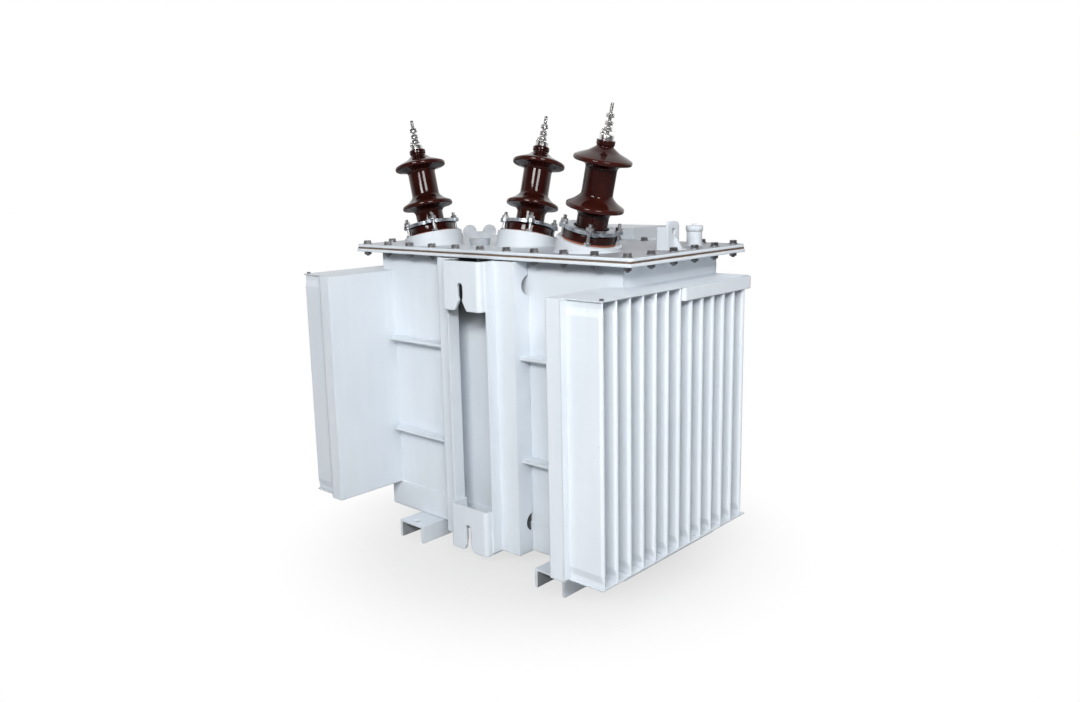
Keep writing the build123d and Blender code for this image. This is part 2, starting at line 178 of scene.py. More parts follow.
def sprayed_enamel():
    """Satin enamel: faint cloudy tone, runs, orange peel, slow waves of the sheet, a few scuffs,
    and sheet edges that the paint rounds off. Dust lies low on the tank. The cover top is greyed in
    patches, most on its right, as painted shade, and the lower part of what stands on the cover is
    greyed too. Painted shade, near black, darkens the hollows behind the upper lug, low in the right
    rail, in the feet and on the front wall under the rim."""
    made, shader, place = new_finish("sprayed enamel")
    across, inward, height = (place.node("SeparateXYZ", {}, {0: place}, axis) for axis in range(3))
    off_middle = across.math("ABSOLUTE", across)

    grey, pale_grey = (0.655, 0.705, 0.755, 1), (0.705, 0.750, 0.795, 1)
    cloud = place.noise(3.1, 4.0, 0.6)
    runs = place.stretched(1.0, 1.0, 0.12).noise(38.0, 3.0)
    tone = (cloud * 0.7 + runs * 0.3).step(0.3, 0.7).blend(grey, pale_grey)

    # Painted shade: the cover top greys in patches, most towards its right. The lower part of what stands
    # on the cover is greyed as well.
    cover_shade_colour, film_grey = (0.24, 0.25, 0.275, 1), (0.30, 0.31, 0.33, 1)
    low_dust = (0.54, 0.53, 0.50, 1)
    skin, skin_edge, film_foot, film_high, film_end = 0.0002, 0.0003, 0.0010, 0.900, 0.955
    cover_shade_start, cover_shade_full, dust_height = 0.02, 0.38, 0.16
    level = height.within(cover_top - skin, cover_top + skin, skin_edge)
    cover_shade = level * (0.22 + 0.22 * cloud + 0.60 * across.step(cover_shade_start, cover_shade_full))
    film = (height.step(cover_top + skin_edge, cover_top + film_foot)
            * (1.0 - height.step(film_high, film_end)) * (0.16 + 0.2 * cloud))
    tone_with_cover_shade = film.blend(cover_shade.blend(tone, cover_shade_colour), film_grey)
    dust = (1.0 - height.step(0.0, dust_height)) * place.noise(22.0, 5.0, 0.65).step(0.38, 0.72)

    # Painted shade, a near-black colour, over the hollows: behind the upper lug, low inside the right rail,
    # inside the feet and on the front wall just under the rim flange.
    painted_shade_colour, hair, wall_face = (0.040, 0.039, 0.037, 1), 0.0004, tank_low[1]
    wall_near, wall_end = wall_face + 0.0006, wall_face + 0.0009
    lug_back, lug_side, lug_side_end = -0.2968, 0.06197, 0.06245
    rail_back, rail_side, rail_side_end = -0.2462, 0.1347, 0.1349
    drain_start, bracket_end, drain_full, drain_side = 0.085, 0.095, 0.100, 0.1348
    drain_high, drain_end = 0.155, 0.26
    pocket_start, pocket_full, pocket_top = 0.610, 0.692, 0.8290
    foot_inner, foot_outer, foot_edge, foot_roof = 0.2268, 0.3112, 0.0001, 0.0441
    rim_out, rim_near, rim_in, rim_end = (wall_face + reach for reach in (-0.0019, -0.0011, 0.0046, 0.0056))
    shade_start, shade_full = 0.801, 0.819
    in_lug = (1.0 - off_middle.step(lug_side, lug_side_end)) * inward.step(lug_back - hair, lug_back)
    in_rail = inward.step(rail_back - hair, rail_back)
    in_bracket = ((1.0 - off_middle.step(rail_side, rail_side_end))
                  * (1.0 - across.step(drain_start, bracket_end)) * in_rail)
    before_wall = 1.0 - inward.step(wall_near, wall_end)
    lug_shade = ((in_lug + in_bracket * (1.0 - in_lug)) * height.step(pocket_start, pocket_full)
                  * (1.0 - height.step(pocket_top, pocket_top + skin)) * before_wall)
    drain_shade = (across.step(drain_start, drain_full)
                    * (1.0 - across.step(drain_side, drain_side + skin)) * in_rail
                    * (1.0 - height.step(drain_high, drain_end)) * before_wall)
    foot_shade = (off_middle.within(foot_inner, foot_outer, foot_edge)
                   * (1.0 - height.step(foot_roof, foot_roof + hair)))
    rim_shadow = (inward.step(rim_out, rim_near) * (1.0 - inward.step(rim_in, rim_end))
                  * height.step(shade_start, shade_full)
                  * (1.0 - height.step(flange_bottom - skin, flange_bottom - skin / 2)))
    painted_shade = 0.86 * lug_shade + 0.86 * drain_shade + 0.62 * foot_shade + 0.55 * rim_shadow
    # The low dust and the painted shade go into one colour.
    dust_and_shade = (dust * 0.10).blend(painted_shade.blend(tone_with_cover_shade, painted_shade_colour), low_dust)

    scuffed, edge_radius = (0.40, 0.42, 0.44, 1), 0.0045
    scuff = place.noise(95.0, 3.0).step(0.70, 0.76) * place.noise(7.0).step(0.52, 0.62)
    rounded = place.node("Bevel", {"samples": 4}, {"Radius": edge_radius})
    waved = place.noise(5.5, 1.0).bump(0.004, 0.10, rounded)
    peel = place.noise(420.0, 1.0).bump(0.0004, 0.10, waved)
    feed(shader, Base_Color=(scuff * 0.45).blend(dust_and_shade, scuffed), Normal=peel, Specular_IOR_Level=0.25,
         Roughness=0.36 + 0.14 * cloud + 0.25 * dust + 0.15 * scuff)
    return made


def paint(names, finish):
    """Gives CAD nodes a finish in place of the one that they come with."""
    for name in names:
        nodes[name].data.materials.clear()
        nodes[name].data.materials.append(finish)


enamel = sprayed_enamel()
not_sprayed = ("porcelain", "clamp_ring", "terminal", "seal", "gasket")
paint([name for name in nodes if not name.endswith(not_sprayed)], enamel)


def ring_rows(rings, sides):
    """Faces of a tube: one four-sided face between neighbours, and a flat face at each end."""
    start = np.arange(rings - 1)[:, None] * sides
    here = np.arange(sides)[None, :]
    beside = (here + 1) % sides
    walls = np.stack((start + here, start + beside, start + beside + sides,
                      start + here + sides), -1).reshape(-1, 4)
    caps = np.stack((np.arange(sides)[::-1], (rings - 1) * sides + np.arange(sides)))
    return [walls, caps]


def weld_bead(corners, radius, closed=False):
    """A round bead along straight runs: circles across the run, whose radius swells and shrinks
    with the distance along it, once for each ripple of a hand-laid weld."""
    bead_step, bead_ripple, slow_ripple, bead_sides = 0.0022, 0.0066, 0.041, 8
    ripple_share, slow_share, aside = 0.13, 0.07, (0.37, 0.61, 0.70)
    corners = np.array(corners, float)
    if closed:
        corners = np.vstack((corners, corners[:1]))
    along = np.append(0.0, np.cumsum(np.linalg.norm(np.diff(corners, axis=0), axis=1)))
    s = np.linspace(0.0, along[-1], max(4, int(along[-1] / bead_step)))
    middle = np.stack([np.interp(s, along, corners[:, axis]) for axis in range(3)], 1)
    ahead = np.gradient(middle, axis=0)
    ahead /= np.linalg.norm(ahead, axis=1)[:, None]
    side = np.cross(ahead, aside)
    side /= np.linalg.norm(side, axis=1)[:, None]
    up = np.cross(ahead, side)
    swell = radius * (1 + ripple_share * np.sin(2 * np.pi * s / bead_ripple)
                      + slow_share * np.sin(2 * np.pi * s / slow_ripple))
    angle = 2 * np.pi * np.arange(bead_sides) / bead_sides
    spoke = (np.cos(angle)[None, :, None] * side[:, None]
             + np.sin(angle)[None, :, None] * up[:, None])
    points = middle[:, None] + swell[:, None, None] * spoke
    return points.reshape(-1, 3), ring_rows(len(s), bead_sides)


def add_piece(name, shapes, finish, crease=40):
    """Puts shapes, each its points and its rows of faces, into one mesh that rides on the body."""
    starts = np.cumsum([0] + [len(points) for points, rows in shapes[:-1]])
    faces = [face for start, (points, rows) in zip(starts, shapes)
             for row in rows for face in (row + start).tolist()]
    mesh = bpy.data.meshes.new(name)
    mesh.from_pydata(np.vstack([points for points, rows in shapes]).tolist(), [], faces)
    mesh.materials.append(finish)
    mesh.shade_smooth()
    mesh.set_sharp_from_angle(angle=math.radians(crease))
    made = bpy.data.objects.new(name, mesh)
    scene.collection.objects.link(made)
    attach(made, "root")
    return made


def level_loop(low, high, z):
    """The four corners of a level rectangle."""
    return [(low[0], low[1], z), (high[0], low[1], z), (high[0], high[1], z), (low[0], high[1], z)]


pan_seam, rim_seam, corner_seam = 0.0024, 0.0034, 0.0016
tank_seams = [weld_bead(level_loop(tank_low, tank_high, pan_top), pan_seam, True),
              weld_bead(level_loop(tank_low, tank_high, flange_bottom), rim_seam, True)]
tank_seams += [weld_bead([(x, y, pan_top), (x, y, flange_bottom)], corner_seam)
               for x in (tank_low[0], tank_high[0]) for y in (tank_low[1], tank_high[1])]
add_piece("tank_seam_welds", tank_seams, enamel)


# Cover joint: the cover is bolted down on the rim flange over a strip of bonded cork.
# Zinc-plated bolts go through all three, with the heads on top and the nuts under the flange.
def bonded_cork():
    """Pressed cork crumbs: cells from dark to pale brown, a little raised, and dark gaps between."""
    made, shader, place = new_finish("bonded cork")
    brown, pale_brown = (0.130, 0.082, 0.052, 1), (0.270, 0.182, 0.120, 1)
    dark_gap = (0.07, 0.04, 0.025, 1)
    cells = {"Vector": place, "Scale": 420.0}
    crumb = place.node("SeparateColor", {}, {0: place.node("TexVoronoi", {}, cells, 1)}, 0)
    edge = place.node("TexVoronoi", {"feature": "DISTANCE_TO_EDGE"}, cells)
    gap = 1.0 - edge.step(0.0, 0.12)
    feed(shader, Base_Color=(gap * 0.6).blend(crumb.blend(brown, pale_brown), dark_gap),
         Roughness=0.78 + 0.15 * gap, Normal=(edge + crumb).bump(0.0006, 0.5))
    return made


def plated_zinc(name, dark, light, stained):
    """Zinc plate on a turned or forged fastener: cloudy grey between a dark and a light tone, a
    share of brown stain, and fine scratches."""
    made, shader, place = new_finish(name)
    dark_grey, light_grey = (dark, dark, dark * 1.03, 1), (light, light, light * 1.02, 1)
    brown = (0.21, 0.165, 0.125, 1)
    cloud = place.noise(55.0, 4.0, 0.6)
    stain = place.noise(17.0, 5.0, 0.65).step(0.52, 0.78)
    scratch = place.stretched(1.0, 1.0, 6.0).noise(900.0, 2.0)
    grey = cloud.step(0.3, 0.7).blend(dark_grey, light_grey)
    feed(shader, Base_Color=(stain * stained).blend(grey, brown), Metallic=1.0 - 0.35 * stain,
         Roughness=0.30 + 0.16 * cloud + 0.22 * stain, Normal=scratch.bump(0.0002, 0.25))
    return made


def turned(profile, sides):
    """A profile of radius and height pairs carried round the Z axis, closed at both ends."""
    radius, height = np.array(profile, float).T
    angle = 2 * np.pi * np.arange(sides) / sides
    points = np.stack((radius[:, None] * np.cos(angle), radius[:, None] * np.sin(angle),
                       np.repeat(height[:, None], sides, 1)), -1)
    return points.reshape(-1, 3), ring_rows(len(radius), sides)


def hexagon(across, low, high, both_ends=False):
    """A hexagon head or nut: at each angle and level the radius is the smaller of the hexagon's
    and of the cone that bevels its corners at the top, and at the foot too for a nut."""
    sides, cone_start, cone_slope = 24, 0.475, 1.75
    level_shares = np.array((0.0, 0.04, 0.12, 0.22, 0.78, 0.88, 0.96, 1.0))
    height = high - low
    level = height * level_shares
    angle = 2 * np.pi * np.arange(sides) / sides
    flat = across / 2 / np.cos(np.mod(angle, np.pi / 3) - np.pi / 6)
    inside = np.minimum(height - level, level) if both_ends else height - level
    radius = np.minimum(flat[None, :], (across * cone_start + cone_slope * inside)[:, None])
    points = np.stack((radius * np.cos(angle), radius * np.sin(angle),
                       np.repeat(low + level[:, None], sides, 1)), -1)
    return points.reshape(-1, 3), ring_rows(len(level), sides)


def threaded(radius, pitch, low, high):
    """A screw thread: the radius falls and rises with the height in pitches less the turn round
    the axis, and runs out in a bevel at the top."""
    sides, rings_a_pitch, depth_share = 14, 4, 0.55
    z = np.linspace(low, high, int((high - low) / pitch * rings_a_pitch) + 2)[:, None]
    turn = np.arange(sides)[None, :] / sides
    wave = np.abs(2 * np.mod(z / pitch - turn, 1.0) - 1)
    radius = np.minimum(radius - depth_share * pitch * wave, radius - pitch + (high - z))
    points = np.stack((radius * np.cos(2 * np.pi * turn), radius * np.sin(2 * np.pi * turn),
                       z + 0 * turn), -1)
    return points.reshape(-1, 3), ring_rows(len(z), sides)


def square_axes(axis):
    """Three unit axes at right angles to one another, the third along the given axis."""
    z = np.array(axis, float) / np.linalg.norm(axis)
    x = np.cross((0.0, 0.8, -0.6), z)
    x /= np.linalg.norm(x)
    return np.stack((x, np.cross(z, x), z))


def stamped(shape, origins, axis=(0.0, 0.0, 1.0)):
    """One shape repeated at several origins, with its Z axis laid along the given axis."""
    points, rows = shape
    origins = np.atleast_2d(np.array(origins, float))
    placed = points @ square_axes(axis) + origins[:, None]
    starts = np.arange(len(origins)) * len(points)
    return placed.reshape(-1, 3), [np.vstack([row + start for start in starts]) for row in rows]


cork = bonded_cork()
zinc = plated_zinc("weathered zinc", dark=0.19, light=0.36, stained=0.16)
paint(["cover_gasket"], cork)

cover_low, cover_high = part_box("cover_plate")
rim_inset_x, rim_inset_y = 0.024, 0.020
long_steps, short_steps = 11, 6
bolt_across, bolt_head, bolt_nut, bolt_tail = 0.0185, 0.0078, 0.0075, 0.0035
bolt_radius, bolt_pitch = 0.0056, 0.00175
washer_radius, washer_thickness, washer_sides = 0.0120, 0.0024, 24
washer_bore, washer_crown = washer_radius * 0.55, washer_radius * 0.95
washer_edge = washer_thickness * 0.7
rim_x = np.linspace(cover_low[0] + rim_inset_x, cover_high[0] - rim_inset_x, long_steps)
rim_y = np.linspace(cover_low[1] + rim_inset_y, cover_high[1] - rim_inset_y, short_steps)
rim = np.array([(x, y, 0.0) for x in rim_x for y in (rim_y[0], rim_y[-1])]
               + [(x, y, 0.0) for x in (rim_x[0], rim_x[-1]) for y in rim_y[1:-1]])
above = rim + (0.0, 0.0, cover_top)
below = rim + (0.0, 0.0, flange_bottom)
down = (0.0, 0.0, -1.0)
washer = turned([(washer_bore, 0.0), (washer_radius, 0.0), (washer_radius, washer_edge),
                 (washer_crown, washer_thickness), (washer_bore, washer_thickness)], washer_sides)
head = hexagon(bolt_across, washer_thickness, washer_thickness + bolt_head)
nut_top = washer_thickness + bolt_nut
nut = hexagon(bolt_across, washer_thickness, nut_top, True)
tail_low = washer_thickness + bolt_nut * 0.9
tail = threaded(bolt_radius, bolt_pitch, tail_low, nut_top + bolt_tail)
add_piece("cover_bolts", [stamped(washer, above), stamped(head, above)], zinc)
add_piece("cover_bolt_nuts", [stamped(part, below, down) for part in (washer, nut, tail)],
          zinc)


# Radiator wings: a sheet box on each side carries a panel of pressed fins, closed by a plate at
# top and bottom and seam-welded to the tank. A flat bar ties the fins' outer edges together, and
# a small plug at the front corner of the top plate lets the air out.
wing_seam = 0.0022
plug_inset_x, plug_inset_y, plug_across, plug_height = 0.0070, 0.0115, 0.0092, 0.0042
wing_welds, plugs = [], []
for side, outward in (("left", -1), ("right", 1)):
    box_low, box_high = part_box(side + "_wing_box")
    plate_low, plate_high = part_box(side + "_fin_top_plate")
    inner_x, end_x, plate_x = ((box_high[0], tank_low[0], plate_low[0]) if outward < 0
                               else (box_low[0], tank_high[0], plate_high[0]))
    wing_welds += [
        weld_bead([(inner_x, tank_low[1], z) for z in (box_low[2], box_high[2])], wing_seam),
        weld_bead([(x, tank_low[1], box_high[2]) for x in (inner_x, end_x)], wing_seam),
        weld_bead([(end_x, y, box_high[2]) for y in (tank_low[1], tank_high[1])], wing_seam)]
    plugs += [(plate_x - outward * plug_inset_x, plate_low[1] + plug_inset_y, plate_high[2])]
add_piece("wing_welds", wing_welds, enamel)
add_piece("vent_plugs", [stamped(hexagon(plug_across, 0.0, plug_height), plugs)],
          zinc)


# Ribs and pole bracket: flat ribs stiffen the front and rear walls, and two bent rails carry the
# slotted lugs that hang the tank on a pole. They are stitch-welded along their edges.
def stitches(start, end, length, gap):
    """Short beads in line from start to end, of one length and a gap apart."""
    start, end = np.array(start, float), np.array(end, float)
    reach = np.linalg.norm(end - start)
    count = max(1, int((reach + gap) / (length + gap)))
    ahead = (end - start) / reach
    first = (reach - count * length - (count - 1) * gap) / 2
    return [weld_bead([start + ahead * (first + n * (length + gap)),
                       start + ahead * (first + n * (length + gap) + length)], stitch_seam)
            for n in range(count)]


stitch_seam = 0.0019
rib_thickness = 0.008
rib_stitch, rib_gap = 0.045, 0.03
rear_stitch, rear_gap = 0.06, 0.07
rail_stitch, rail_gap = 0.07, 0.045
rail_runs = ((0.17, 0.295), (0.32, 0.568), (0.594, 0.735))
rail_low, rail_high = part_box("right_pole_rail")
rib_low, rib_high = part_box("front_ribs")
wing_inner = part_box("right_wing_box")[0][0]
bracket_welds = []
for z in (rib_low[2], rib_low[2] + rib_thickness, rib_high[2] - rib_thickness, rib_high[2]):
    for mirror in (-1, 1):
        bracket_welds += stitches((mirror * rail_high[0], tank_low[1], z),
                                  (mirror * wing_inner, tank_low[1], z), rib_stitch, rib_gap)
    bracket_welds += stitches((tank_low[0], tank_high[1], z), (tank_high[0], tank_high[1], z),
                              rear_stitch, rear_gap)
for mirror in (-1, 1):
    for z_low, z_high in rail_runs:
        bracket_welds += stitches((mirror * rail_high[0], tank_low[1], z_low),
                                  (mirror * rail_high[0], tank_low[1], z_high), rail_stitch, rail_gap)
for name in ("upper_hanger_lug", "lower_hanger_lug"):
    lug_low, lug_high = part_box(name)
    bracket_welds += [weld_bead([(x, rail_low[1], z) for z in (lug_low[2], lug_high[2])], stitch_seam)
                      for x in (lug_low[0], lug_high[0])]
add_piece("bracket_welds", bracket_welds, enamel)


# Feet: two lengths of channel, flanges down, welded along both edges under the base pan. Each
# sticks out in front of and behind the tank, where it is bolted down.
foot_stitch, foot_gap = 0.07, 0.05
pan_low, pan_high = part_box("base_pan")
foot_welds = []
for name in ("left_foot", "right_foot"):
    foot_low, foot_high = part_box(name)
    for x in (foot_low[0], foot_high[0]):
        foot_welds += stitches((x, pan_low[1], foot_high[2]), (x, pan_high[1], foot_high[2]),
                               foot_stitch, foot_gap)
add_piece("foot_welds", foot_welds, enamel)


# Bushings: a glazed porcelain insulator stands on a seal on each leaning turret. A galvanized
# ring, held down by four bolts, clamps its shoulder. A tinned stud with three nuts comes out of
# the cap on its top, beside a small bleed screw.
def brown_glaze():
    """Dark red-brown glaze: thin and redder over the rims, pooled and darker in the hollows,
    slow waves from the firing and a few pin holes, all under a clear glassy skin."""
    made, shader, place = new_finish("brown glaze")
    dark_brown, brown = (0.015, 0.0026, 0.0018, 1), (0.026, 0.0046, 0.0032, 1)
    red_brown, pin_hole = (0.040, 0.0078, 0.0050, 1), (0.012, 0.006, 0.005, 1)
    thin = place.node("Attribute", {"attribute_name": "rim"}, {}, 2)
    cloud = place.noise(16.0, 4.0, 0.6)
    speck = place.noise(620.0, 1.0).step(0.70, 0.80)
    rim = (thin * 0.6).blend(cloud.step(0.3, 0.7).blend(dark_brown, brown), red_brown)
    wave = (place.noise(30.0, 1.0) + 0.06 * place.noise(240.0)).bump(0.0022, 0.16)
    feed(shader, Base_Color=(speck * 0.4).blend(rim, pin_hole), Roughness=0.05 + 0.08 * cloud,
         Normal=wave, Specular_IOR_Level=0.36)
    return made


def hot_dip_zinc():
    """Galvanizing: flakes of crystal that differ in tone and polish, under a thin grey bloom."""
    made, shader, place = new_finish("hot dip zinc")
    dark_flake, light_flake = (0.34, 0.37, 0.42, 1), (0.54, 0.58, 0.63, 1)
    bloom_grey = (0.38, 0.40, 0.44, 1)
    cells = place.node("TexVoronoi", {}, {"Vector": place, "Scale": 150.0}, 1)
    flake = place.node("SeparateColor", {}, {0: cells}, 1)
    bloom = place.noise(40.0, 5.0, 0.65).step(0.42, 0.72)
    feed(shader, Base_Color=(bloom * 0.5).blend(flake.blend(dark_flake, light_flake), bloom_grey),
         Metallic=1.0 - 0.5 * bloom, Roughness=0.28 + 0.14 * flake + 0.20 * bloom,
         Normal=(flake + place.noise(90.0)).bump(0.0004, 0.25))
    return made


def red_rubber():
    """Brown-red nitrile seal with a dull skin and pale dust."""
    made, shader, place = new_finish("red rubber")
    dark_red, red = (0.150, 0.046, 0.026, 1), (0.240, 0.082, 0.045, 1)
    pale_dust = (0.30, 0.22, 0.18, 1)
    skin = place.noise(130.0, 4.0, 0.6)
    dust = place.noise(34.0, 3.0).step(0.5, 0.75)
    feed(shader, Base_Color=(dust * 0.3).blend(skin.blend(dark_red, red), pale_dust),
         Roughness=0.55 + 0.25 * skin, Normal=skin.bump(0.0005, 0.3))
    return made


def tinned_brass():
    """Bright tin on turned brass: fine turning lines round the stud and dull grey patches."""
    made, shader, place = new_finish("tinned brass")
    bright_tin, dull_tin = (0.78, 0.77, 0.76, 1), (0.52, 0.515, 0.51, 1)
    dull = place.noise(70.0, 5.0, 0.65).step(0.4, 0.75)
    line = place.stretched(0.08, 0.08, 1.0).noise(1900.0, 2.0)
    feed(shader, Base_Color=dull.blend(bright_tin, dull_tin), Metallic=1.0,
         Roughness=0.18 + 0.22 * dull + 0.08 * line, Normal=line.bump(0.0002, 0.2))
    return made


def rounded_profile(points, radius):
    """An outline of straight runs whose corners are cut back by a radius and rounded: each corner
    becomes the quadratic curve between two points on its runs, with the corner as its control."""
    longest_share, curve_points = 0.48, 7
    corner = np.array(points[1:-1], float)
    back = np.array(points[:-2], float) - corner
    on = np.array(points[2:], float) - corner
    back_length, on_length = np.linalg.norm(back, axis=1), np.linalg.norm(on, axis=1)
    reach = np.minimum(np.array(radius, float), longest_share * np.minimum(back_length, on_length))
    first = corner + back / back_length[:, None] * reach[:, None]
    last = corner + on / on_length[:, None] * reach[:, None]
    t = np.linspace(0.0, 1.0, curve_points)[None, :, None]
    curve = (1 - t) ** 2 * first[:, None] + 2 * t * (1 - t) * corner[:, None] + t ** 2 * last[:, None]
    return np.vstack((points[:1], curve.reshape(-1, 2), points[-1:]))


glaze, galvanized, rubber, tin = brown_glaze(), hot_dip_zinc(), red_rubber(), tinned_brass()
bright_zinc = plated_zinc("bright zinc", dark=0.46, light=0.72, stained=0.20)

porcelain_outline = [
    (0.0, 0.031), (0.064, 0.031), (0.064, 0.0505), (0.046, 0.053), (0.039, 0.058), (0.039, 0.098),
    (0.061, 0.1055), (0.0718, 0.1065), (0.0722, 0.1165), (0.062, 0.1215), (0.050, 0.1290),
    (0.0395, 0.1400), (0.039, 0.150), (0.039, 0.212), (0.061, 0.2195), (0.0718, 0.2205),
    (0.0722, 0.2305), (0.060, 0.2365), (0.038, 0.2455), (0.0215, 0.2570), (0.0208, 0.2600),
    (0.0228, 0.2630), (0.0230, 0.2735), (0.0, 0.2735)]
corner_radius = [
    0.002, 0.003, 0.003, 0.006, 0.012, 0.012, 0.004, 0.005, 0.006, 0.008, 0.010, 0.010, 0.008, 0.012,
    0.012, 0.004, 0.005, 0.006, 0.012, 0.010, 0.003, 0.003]
pole_radius, glaze_sides, glaze_crease = 0.0004, 112, 70
profile = rounded_profile(porcelain_outline, corner_radius)
profile[[0, -1], 0] = pole_radius
rim_start, rim_width, lowest_rim = 0.058, 0.013, 0.08
rim_share = np.repeat(np.clip((profile[:, 0] - rim_start) / rim_width, 0.0, 1.0)
                      * (profile[:, 1] > lowest_rim), glaze_sides)

stud_reach, stud_radius, stud_pitch, stud_low, stud_high = 0.348, 0.0047, 0.00150, 0.2800, 0.3600
cap_outline = [
    (0.0120, 0.2700), (0.0176, 0.2700), (0.0180, 0.2708), (0.0178, 0.2730), (0.0178, 0.2840),
    (0.0173, 0.2855), (0.0160, 0.2862), (0.0110, 0.2872), (0.0056, 0.2876)]
cap_sides = 48
nut_across, nut_height, nut_levels = 0.0180, 0.0072, (0.300, 0.314, 0.332)
disc_reaches, disc_sides = (0.0118, 0.0106, 0.0106), 28
disc_bore, disc_thickness, disc_bevel = 0.0056, 0.0022, 0.0004
stud_parts = [threaded(stud_radius, stud_pitch, stud_low, stud_high), turned(cap_outline, cap_sides)]
for level, reach in zip(nut_levels, disc_reaches):
    seat = level - nut_height / 2
    foot, crown = seat - disc_thickness, reach * 0.96
    disc = [(disc_bore, foot), (crown, foot), (reach, foot + disc_bevel), (reach, seat - disc_bevel),
            (crown, seat), (disc_bore, seat)]
    stud_parts += [hexagon(nut_across, seat, seat + nut_height, True), turned(disc, disc_sides)]
bleed_across, bleed_low, bleed_high = 0.0100, 0.2855, 0.2905
bleed_radius, bleed_pitch, bleed_start, bleed_end = 0.0034, 0.0010, 0.2900, 0.2985
bleed_parts = [hexagon(bleed_across, bleed_low, bleed_high, True),
               threaded(bleed_radius, bleed_pitch, bleed_start, bleed_end)]
bleed_offset, bleed_side = 0.0120, (-0.7424, -0.6697, 0.0201)

turret_radius, turret_top, turret_seam, turret_points = 0.0825, 0.027, 0.0026, 72
ring_top, ring_bolt_radius, ring_bolts, first_bolt = 0.062, 0.068, 4, 45
clamp_rod, clamp_across, clamp_nut, clamp_thread, clamp_pitch = 0.0042, 0.0160, 0.0080, 0.0050, 0.0015
clamp_disc, clamp_crown, clamp_edge, clamp_seat = 0.0105, 0.0098, ring_top + 0.0016, ring_top + 0.0020
thread_low, thread_high, rod_sides, clamp_sides = ring_top + 0.0095, ring_top + 0.0190, 14, 20
clamp_parts = [
    turned([(clamp_rod, turret_top), (clamp_rod, ring_top)], rod_sides),
    turned([(clamp_disc, ring_top), (clamp_disc, clamp_edge), (clamp_crown, clamp_seat)], clamp_sides),
    hexagon(clamp_across, clamp_seat, clamp_seat + clamp_nut, True),
    threaded(clamp_thread, clamp_pitch, thread_low, thread_high),
    hexagon(clamp_across, turret_top, turret_top + clamp_nut, True)]
ear = np.radians(first_bolt + 360 / ring_bolts * np.arange(ring_bolts))[:, None]
around = np.linspace(0, 2 * np.pi, turret_points, endpoint=False)[:, None]

clamp_bolts, turret_welds = [], []
for name in ("left", "middle", "right"):
    stud = mounts[name + "_line_stud"]
    axis = np.array(stud["axis"], float)
    foot = np.array(stud["pos_m"], float) - axis * stud_reach
    body = add_piece(name + "_glazed_body", [stamped(turned(profile, glaze_sides), foot, axis)],
                     glaze, glaze_crease)
    body.data.attributes.new("rim", "FLOAT", "POINT").data.foreach_set("value", rim_share)
    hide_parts(name + "_porcelain")
    beside = np.cross(np.cross(axis, bleed_side), axis)
    beside *= bleed_offset / np.linalg.norm(beside)
    terminal = add_piece(name + "_line_terminal", [stamped(part, foot, axis) for part in stud_parts]
                         + [stamped(part, foot + beside, axis) for part in bleed_parts],
                         tin)
    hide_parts(name + "_terminal")
    paint([name + "_seal"], rubber)
    paint([name + "_clamp_ring"], galvanized)
    x_axis, y_axis, z_axis = square_axes(axis)
    ears = foot + ring_bolt_radius * (np.cos(ear) * x_axis + np.sin(ear) * y_axis)
    clamp_bolts += [stamped(part, ears, axis) for part in clamp_parts]
    spokes = turret_radius * (np.cos(around) * x_axis + np.sin(around) * y_axis)
    turret_welds += [weld_bead(foot + spokes - z_axis * (spokes[:, 2:] / z_axis[2]), turret_seam, True)]
add_piece("clamp_bolts", clamp_bolts, bright_zinc)
add_piece("turret_welds", turret_welds, enamel)


# Cover fittings: lifting lugs, a filler pipe and a tap switch of cast alloy stand on the cover,
# fixed round their feet. The filler's screwed cap has a grip of fine ribs round it.
def ribbed(radius, depth, ribs, low, high):
    """A gripped band: the radius rises and falls with the angle, once for each rib, and the ribs
    fade out towards both ends of the band."""
    points_a_rib, fade_share = 6, 0.12
    sides, levels = ribs * points_a_rib, np.array((0.0, 0.04, 0.12, 0.5, 0.88, 0.96, 1.0))
    angle = 2 * np.pi * np.arange(sides) / sides
    fade = np.clip(np.minimum(levels, 1 - levels) / fade_share, 0.0, 1.0)[:, None]
    ends = np.where((levels == 0) | (levels == 1), -depth, 0.0)[:, None]
    reach = radius + ends + depth * fade * (0.5 + 0.5 * np.cos(ribs * angle))[None, :]
    points = np.stack((reach * np.cos(angle), reach * np.sin(angle),
                       np.repeat(low + (high - low) * levels[:, None], sides, 1)), -1)
    return points.reshape(-1, 3), ring_rows(len(levels), sides)


def cast_alloy():
    """Grey cast alloy with a sandy skin: cloudy tone, fine grain and duller patches."""
    made, shader, place = new_finish("cast alloy")
    dark_grey, grey = (0.31, 0.33, 0.355, 1), (0.43, 0.455, 0.485, 1)
    cloud = place.noise(26.0, 4.0, 0.6)
    grain = place.noise(700.0, 2.0)
    feed(shader, Base_Color=(0.8 * cloud + 0.2 * grain).step(0.3, 0.7).blend(dark_grey, grey),
         Roughness=0.40 + 0.22 * cloud, Normal=grain.bump(0.0004, 0.35))
    return made


alloy = cast_alloy()
paint(("tap_switch_base", "tap_switch_handle"), alloy)
fitting_seam, fitting_points, switch_foot_radius = 0.0022, 48, 0.025
fitting_welds = []
for name in ("left_lifting_lug", "right_lifting_lug"):
    lug_low, lug_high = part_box(name)
    fitting_welds += [weld_bead(level_loop(lug_low, lug_high, cover_top), fitting_seam, True)]
fitting_angle = np.linspace(0, 2 * np.pi, fitting_points, endpoint=False)
fitting_ring = np.stack((np.cos(fitting_angle), np.sin(fitting_angle), 0 * fitting_angle), 1)
for name in ("filler_pipe", "tap_switch_base"):
    ring_low, ring_high = (np.array(corner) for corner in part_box(name))
    middle = (ring_low + ring_high) / 2
    ring_radius = switch_foot_radius if name == "tap_switch_base" else (ring_high[0] - ring_low[0]) / 2
    fitting_welds += [weld_bead(fitting_ring * ring_radius + (middle[0], middle[1], cover_top),
                                fitting_seam, True)]
add_piece("fitting_welds", fitting_welds, enamel)

